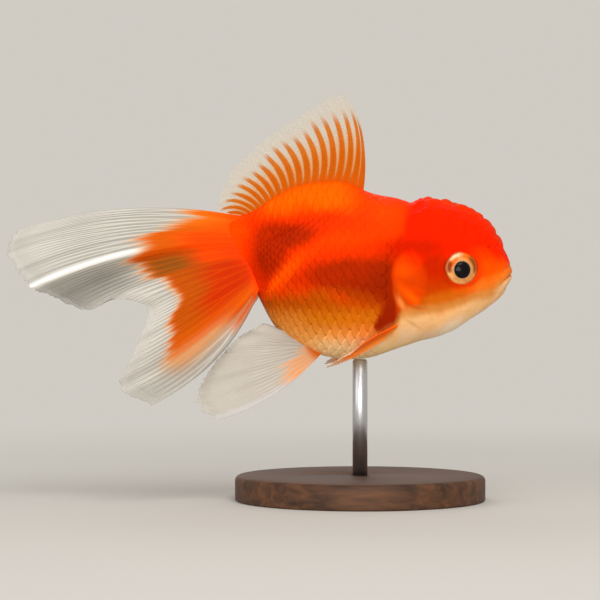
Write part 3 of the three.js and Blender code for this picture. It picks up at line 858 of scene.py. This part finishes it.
def paint_tail(a, r, ray):
    past = r - tail_orange(a) - 0.02 * streaks(a, 40, 31) - 0.014 * streaks(a, 130, 32)
    # the crest of the fold in the upper lobe, where a painted highlight lies
    fold = bell(a - 0.355, 0.02 - 0.01 * r) * smooth(0.44, 0.56, r)
    front = a + 0.012 * streaks(a, 60, 34) + 0.02 * (0.5 - ray)
    orange = smooth(0.045, -0.045, past) * (1 - smooth(0.86, 0.95, front) * smooth(0.14, 0.42, r))
    orange *= 1 - 0.85 * smooth(0.93, 0.98, front) * smooth(0.05, 0.15, r)
    lower = orange * smooth(0.5, 0.62, a)
    tint = overlaid(
        linear(FIN_WHITE),
        (RAY_WHITE, 0.7 * ray),
        ((150, 146, 134), 0.5 * np.clip(streaks(a, 60, 33), 0, 1) * smooth(0.3, 0.6, r)),
        # painted shade under the fold of the upper lobe, then a painted highlight along its crest
        ((98, 96, 88), 0.6 * bell(a - 0.47, 0.08) * smooth(0.5, 0.8, r)),
        ((244, 241, 234), fold),
        ((208, 150, 94), 0.8 * smooth(0.1, 0, past) * (1 - smooth(0.88, 0.98, a) * smooth(0.26, 0.4, r))),
        ((214, 102, 14), orange),
        ((242, 76, 0), orange * smooth(0, -0.2, past)),
        ((196, 78, 4), 0.8 * orange * smooth(0.14, 0.26, a) * smooth(-0.26, -0.08, past)),
        ((230, 58, 0), 0.8 * orange * smooth(0.2, 0.34, a) * smooth(-0.08, -0.22, past)),
        ((172, 70, 3), lower),
        ((190, 42, 0), lower * smooth(-0.1, -0.36, past)),
        ((214, 88, 5), 0.9 * orange * smooth(0.78, 0.93, a)),
        ((198, 138, 82), 0.75 * bell(a - 0.93, 0.035) * smooth(0.2, 0.42, r) * smooth(0.84, 0.66, r)),
        ((194, 66, 2), orange * bell(a - 0.42, 0.045) * smooth(0.2, 0.4, r)),
        # painted shade: brown where the middle of the tail lies in shadow
        ((134, 72, 16), orange * np.minimum(1.2 * bell(a - 0.5, 0.07), 1) * smooth(0.24, 0.44, r)),
        ((240, 46, 0), 0.8 * bell(a - 0.5, 0.16) * smooth(0.24, 0.05, r)),
        ((248, 56, 0), smooth(0.14, 0.02, r)),
        ((255, 112, 10), 0.12 * orange * ray),
    )
    tinted = np.maximum(smooth(0.1, -0.04, past) * smooth(1, 0.88, a), orange)
    solid = 0.58 + 0.2 * ray + 0.5 * tinted + 0.36 * fold
    return tint, solid * (1 - 0.35 * smooth(0.9, 1, r))


def paint_dorsal(a, r, ray):
    row = dorsal_row(a, r)
    reach = 0.88 - 0.14 * bell(a - 0.72, 0.2) + 0.04 * streaks(row, 19, 41)
    half = 0.45 * (1 - 0.62 * r / reach) + 0.26 * r * smooth(0.07, 0.045, row)  # the first ray is stout
    spine = smooth(half + 0.06, half - 0.06, np.abs(row * DORSAL_RAYS % 1 - 0.5))
    spine *= smooth(0.04, -0.16, r - reach)
    tint = overlaid(
        linear((200, 184, 156)),
        ((212, 146, 72), smooth(0.8, 0.3, r)),
        ((204, 110, 28), 0.75 * smooth(0.5, 0.12, r)),
        (RAY_WHITE, 0.25 * ray * smooth(0.5, 0.9, r)),
        ((192, 106, 32), spine),
        ((184, 84, 2), spine * smooth(0.75, 0.35, r)),
        ((192, 80, 3), smooth(0.24, 0.08, r)),
    )
    solid = 0.26 + 0.3 * smooth(0.8, 0.35, r) + 0.57 * spine + 0.12 * ray + 0.4 * smooth(0.25, 0.08, r)
    return tint, solid * (1 - 0.4 * smooth(0.8, 1, r))


def paint_pelvic(a, r, ray):
    reach = 0.36 - 0.3 * smooth(0.1, 0.8, a) + 0.05 * streaks(a, 14, 51)
    orange = smooth(0.1, -0.1, r - reach)
    tint = overlaid(
        linear((190, 182, 168)),
        (RAY_WHITE, 0.3 * ray),
        ((206, 200, 204), 0.6 * smooth(0.12, 0, a)),
        ((226, 142, 62), orange * (0.6 + 0.4 * ray)),
        ((204, 96, 18), smooth(0.12, 0.05, r)),
    )
    return tint, (0.74 + 0.08 * ray + 0.3 * orange) * (1 - 0.4 * smooth(0.88, 1, r))


def paint_pectoral(a, r, ray):
    orange = smooth(1.3, 0.8, a) * smooth(0.98, 0.72, r)
    tint = overlaid(
        linear((244, 206, 166)),
        (RAY_WHITE, 0.4 * ray),
        ((255, 138, 40), orange),
        ((255, 102, 6), orange * smooth(0.75, 0.35, a)),
        ((240, 160, 92), smooth(0.16, 0.04, r)),
    )
    return tint, (0.76 + 0.2 * ray + 0.25 * orange) * (1 - 0.3 * smooth(0.9, 1, r))


def add_fins():
    add_fin("fin_dorsal_rays", "dorsal", 1, ["fin_dorsal"], DORSAL_RAYS, (0.62,), (500, 60),
            paint_dorsal, row=dorsal_row, thick=(0.7, 0.16), rib=0.09, ruffle=0.1, ragged=0.05, seed=100)
    for name, side in SIDES.items():
        add_fin(f"fin_pectoral_{name}_rays", "pectoral", side, [f"fin_pectoral_{name}"],
                12, (0.5,), (150, 60), paint_pectoral, ruffle=0.1, seed=110 + side)
        add_fin(f"fin_pelvic_{name}_rays", "pelvic", side, [f"fin_pelvic_{name}"],
                11, (0.15, 0.36, 0.6), (400, 72), paint_pelvic, rib=0.012, pleat=0.015, ruffle=0.15,
                ragged=0.05, seed=120 + side)
        add_fin(f"fin_anal_{name}_rays", "anal", side, [f"fin_anal_{name}"],
                7, (0.3, 0.6), (140, 44), paint_pelvic, ruffle=0.08, seed=130 + side)
        add_fin(f"tail_{name}_rays", "tail", side, [f"tail_upper_{name}", f"tail_lower_{name}"],
                18, (0.2, 0.42, 0.68), (600, 80), paint_tail, thick=(1.8, 0.2), rib=0.05, ruffle=0.22,
                ragged=0.022, spread=1 if side < 0 else LEFT_TAIL_SPREAD, seed=140 + side)


# ---- Eyes ----

EYE_RADIUS, EYE_DEPTH = 3.65, 2.7
IRIS_RADIUS = 3.3
PUPIL = 1.68
PUPIL_FOOT, PUPIL_BULGE = 1.98, 0.62  # height of the pupil's edge, and of the lens over it
PUPIL_SHIFT = (-0.14, -0.28)  # of the pupil forwards and up from the middle of the eye
EYE_AROUND = 96


def eye_profile():
    """Radius and height of the eye's rings: the ball, the iris and the lens."""
    profile = []
    for turn in np.linspace(0, 1, 15)[:-1]:
        angle = -math.pi / 2 + turn * (math.pi / 2 + 0.42)
        profile.append((EYE_RADIUS * math.cos(angle), EYE_DEPTH * math.sin(angle)))
    for radius in np.linspace(IRIS_RADIUS, PUPIL + 0.06, 16):
        profile.append((radius, 1.18 + 0.9 * smooth(3.4, 1.4, radius) + 0.05 * math.sin((radius - 1.7) * 2)))
    for radius in PUPIL * np.cos(np.linspace(0, math.pi / 2, 12)):
        profile.append((radius, PUPIL_FOOT + PUPIL_BULGE * math.sqrt(max(0, 1 - (radius / PUPIL) ** 2))))
    profile = np.array(profile)
    profile[0, 0] = profile[-1, 0] = 0.004
    return profile


def paint_eye(ring, angle, outside):
    """The iris's patches with a painted highlight on its top, its dark outer ring, a pale line round the
    pupil and the black pupil.
    """
    grain = waves(np.stack([np.cos(angle) * 9, np.sin(angle) * 9, ring * 1.5], -1), 1, 61)

    def arc(middle, width):
        """1 in the middle of part of the ring, and 0 from that many radians away."""
        return smooth(math.cos(width), 1, np.cos(angle - middle))

    return overlaid(
        linear((224, 146, 76)),
        ((240, 174, 102), arc(3.9, 1.2) * smooth(2, 2.4, ring)),
        # painted highlight: a pale cream arc on the top of the iris
        ((242, 204, 150), 1.2 * arc(1.85, 0.95) * smooth(2.35, 2.75, ring)),
        ((246, 108, 0), arc(1.1, 0.8) * smooth(2.1, 2.5, ring)),
        ((138, 66, 6), 1.2 * arc(0.35, 0.9) * bell(ring - 2.7, 0.45)),
        ((250, 100, 2), 1.2 * arc(2.4, 0.7) * bell(ring - 2.25, 0.35)),
        ((142, 50, 2), 1.2 * arc(2.98, 0.6) * bell(ring - 2.6, 0.5)),
        ((206, 150, 88), 0.8 * arc(0.1, 1.2) * bell(ring - 2.1, 0.2)),
        ((168, 92, 36), 0.3 * np.clip(grain, 0, 1)),
        ((172, 60, 2), smooth(2.85, 3.25, ring)),
        ((164, 132, 98), 0.8 * bell(ring - PUPIL - 0.1, 0.12)),
        ((10, 8, 7), smooth(PUPIL + 0.05, PUPIL - 0.04, ring) * outside),
    )


def add_eye(name, side):
    """An eyeball with a flat ring of iris round the bulging lens."""
    profile = eye_profile()
    turn = np.linspace(0, TAU, EYE_AROUND, endpoint=False)
    forward = np.array([math.cos(EYE_TURN), -side * math.sin(EYE_TURN), 0])
    upward = np.array([0, 0, 1])
    radius, height = profile[:, 0, None], profile[:, 1, None]
    shift = smooth(3.2, 1.9, radius) * (height > 0)
    points = (
        eye_places[side]
        + (radius * np.cos(turn) + PUPIL_SHIFT[0] * shift)[..., None] * forward
        + (radius * np.sin(turn) + PUPIL_SHIFT[1] * shift)[..., None] * upward
        + (height + 0 * turn)[..., None] * eye_ways[side]
    )
    tint = paint_eye(radius + 0 * turn, turn + 0 * radius, height > 0)
    faces = tube_faces(len(profile), EYE_AROUND)
    if side < 0:
        faces = [face[::-1] for face in faces]
    build(f"eyeball_{name}", points, faces, tint, eye_material, replaces=[f"eye_{name}"])


# ---- Stand ----

STAND_TINT = 0.5  # which wood and steel don't use
BASE_AROUND, ROD_AROUND = 160, 64


def turned(name, profile, around, material, node):
    """A piece turned about the vertical axis from (radius, height) points, bottom first."""
    profile = np.array(profile)
    turn = np.linspace(0, TAU, around, endpoint=False)
    radius, height = profile[:, 0, None], profile[:, 1, None]
    points = np.stack([radius * np.cos(turn), radius * np.sin(turn), height + 0 * turn], -1)
    tint = np.full(points.shape, STAND_TINT)
    build(name, points, tube_faces(len(profile), around), tint, material, replaces=[node])


def wood_material():
    material, tree, shader = new_material("dark_wood")
    grain = noise(tree, object_place(tree, (1, 9, 9)), 60, 8, 0.6)
    ramp = add_node(tree, "ValToRGB", {"Fac": grain})
    for stop, place, rgb in zip(ramp.color_ramp.elements, (0.3, 0.72), ((52, 32, 20), (104, 66, 40))):
        stop.position = place
        stop.color = (*linear(rgb), 1)
    plug(tree, shader, {
        "Base Color": ramp.outputs["Color"],
        "Roughness": ranged(tree, grain, 0.5, 0.7),
        "Normal": bumped(tree, grain, 0.05 * MM, 0.4),
        "Specular IOR Level": 0.3,
    })
    return material


def steel_material():
    material, tree, shader = new_material("satin_steel")
    lines = noise(tree, object_place(tree, (1, 1, 24)), 900, 3)
    plug(tree, shader, {
        "Base Color": (0.56, 0.57, 0.58, 1),
        "Metallic": 1,
        "Roughness": ranged(tree, lines, 0.24, 0.42),
    })
    return material


def add_stand():
    """A base with rounded edges and a socket for the rod, and the rod with a small chamfer."""
    _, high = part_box("stand_base")
    radius, height = high.x / MM, high.z / MM
    foot_arc, top_arc = np.linspace(0.3, math.pi / 2, 5), np.linspace(0, math.pi / 2, 9)
    profile = [(0.01, 0), (radius - 0.5, 0)]
    profile += [(radius - 0.5 + 0.5 * math.sin(t), 0.5 - 0.5 * math.cos(t)) for t in foot_arc]
    profile += [(radius - 1 + math.cos(t), height - 1 + math.sin(t)) for t in top_arc]
    profile += [(1.9, height), (1.8, height - 0.1), (1.8, height - 2.9), (0.01, height - 3)]
    turned("stand_base_turned", profile, BASE_AROUND, wood_material(), "stand_base")
    low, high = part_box("stand_rod")
    radius, foot, top = high.x / MM, low.z / MM, high.z / MM - 0.02
    profile = [(0.01, foot), (radius, foot), (radius, top - 0.33), (radius - 0.35, top), (0.01, top)]
    turned("stand_rod_turned", profile, ROD_AROUND, steel_material(), "stand_rod")


# ---- Floor, light and camera ----

BACKDROP = (0.63, 0.6, 0.55, 1)
VIEW_WIDTH = 0.12
VIEW_MIDDLE = (-0.012, 0, 0.04)
LIT_MIDDLE = (-0.012, 0, 0.045)


def seen_plainly(tree):
    """1 for the camera's rays and for those that mirror or refract, which show the plain backdrop."""
    kinds = add_node(tree, "LightPath").outputs
    total = kinds["Is Camera Ray"]
    for kind in ("Is Glossy Ray", "Is Transmission Ray"):
        total = add_node(tree, "Math", {0: total, 1: kinds[kind]}, operation="MAXIMUM").outputs["Value"]
    return total


def show_mixed(tree, output, share, first, second):
    """Leads two nodes' shaders, mixed by a share, to an output node."""
    mixed = add_node(tree, "MixShader", {"Fac": share, 1: first.outputs[0], 2: second.outputs[0]})
    plug(tree, tree.nodes[output], {"Surface": mixed.outputs["Shader"]})


def add_floor():
    """A pale floor that fades into the backdrop's plain colour away from the stand."""
    bpy.ops.mesh.primitive_circle_add(vertices=96, radius=4, fill_type="NGON")
    floor = bpy.context.object
    floor.name = "floor"
    material, tree, shader = new_material("pale_floor")
    plug(tree, shader, {"Base Color": BACKDROP, "Roughness": 0.9, "Specular IOR Level": 0.1})
    glow = add_node(tree, "Emission", {"Color": BACKDROP})
    away = add_node(tree, "VectorMath", {0: object_place(tree)}, operation="LENGTH").outputs["Value"]
    fade = add_node(tree, "MapRange", {"Value": away, "From Min": 0.06, "From Max": 0.3},
                    interpolation_type="SMOOTHSTEP").outputs["Result"]
    share = add_node(tree, "Math", {0: fade, 1: seen_plainly(tree)}, operation="MULTIPLY").outputs["Value"]
    show_mixed(tree, "Material Output", share, shader, glow)
    floor.data.materials.append(material)


def add_world():
    world = bpy.data.worlds.new("studio")
    bpy.context.scene.world = world
    world.use_nodes = True
    tree = world.node_tree
    light = tree.nodes["Background"]
    plug(tree, light, {"Color": (1, 0.99, 0.97, 1), "Strength": 0.5})
    shown = add_node(tree, "Background", {"Color": BACKDROP})
    show_mixed(tree, "World Output", seen_plainly(tree), light, shown)


def add_lamp(name, place, size, power):
    """A round lamp that shines at the middle of the fish."""
    data = bpy.data.lights.new(name, "AREA")
    data.shape = "DISK"
    data.size = size
    data.energy = power
    lamp = bpy.data.objects.new(name, data)
    lamp.location = place
    way = Vector(LIT_MIDDLE) - lamp.location
    lamp.rotation_euler = way.to_track_quat("-Z", "Y").to_euler()
    bpy.context.scene.collection.objects.link(lamp)


def add_camera():
    """A long lens, level and square to the fish's right side."""
    data = bpy.data.cameras.new("camera")
    data.lens, data.sensor_width = 135, 36
    data.clip_start, data.clip_end = 0.01, 20
    camera = bpy.data.objects.new("camera", data)
    bpy.context.scene.collection.objects.link(camera)
    x, y, z = VIEW_MIDDLE
    camera.location = (x, y - VIEW_WIDTH * data.lens / data.sensor_width, z)
    camera.rotation_euler = (math.pi / 2, 0, 0)
    bpy.context.scene.camera = camera


add_skin()
add_scales()
add_fins()
for name, side in SIDES.items():
    add_eye(name, side)
add_stand()
add_floor()
add_world()
add_lamp("key", (0.08, -0.3, 0.42), 0.35, 1.05)
add_lamp("fill", (-0.4, -0.3, 0.12), 0.35, 0.4)
add_lamp("rim", (-0.1, 0.35, 0.3), 0.3, 0.3)
add_lamp("low", (0, -0.5, 0.02), 0.4, 2.4)
add_camera()
bpy.context.scene.view_settings.view_transform = "Standard"
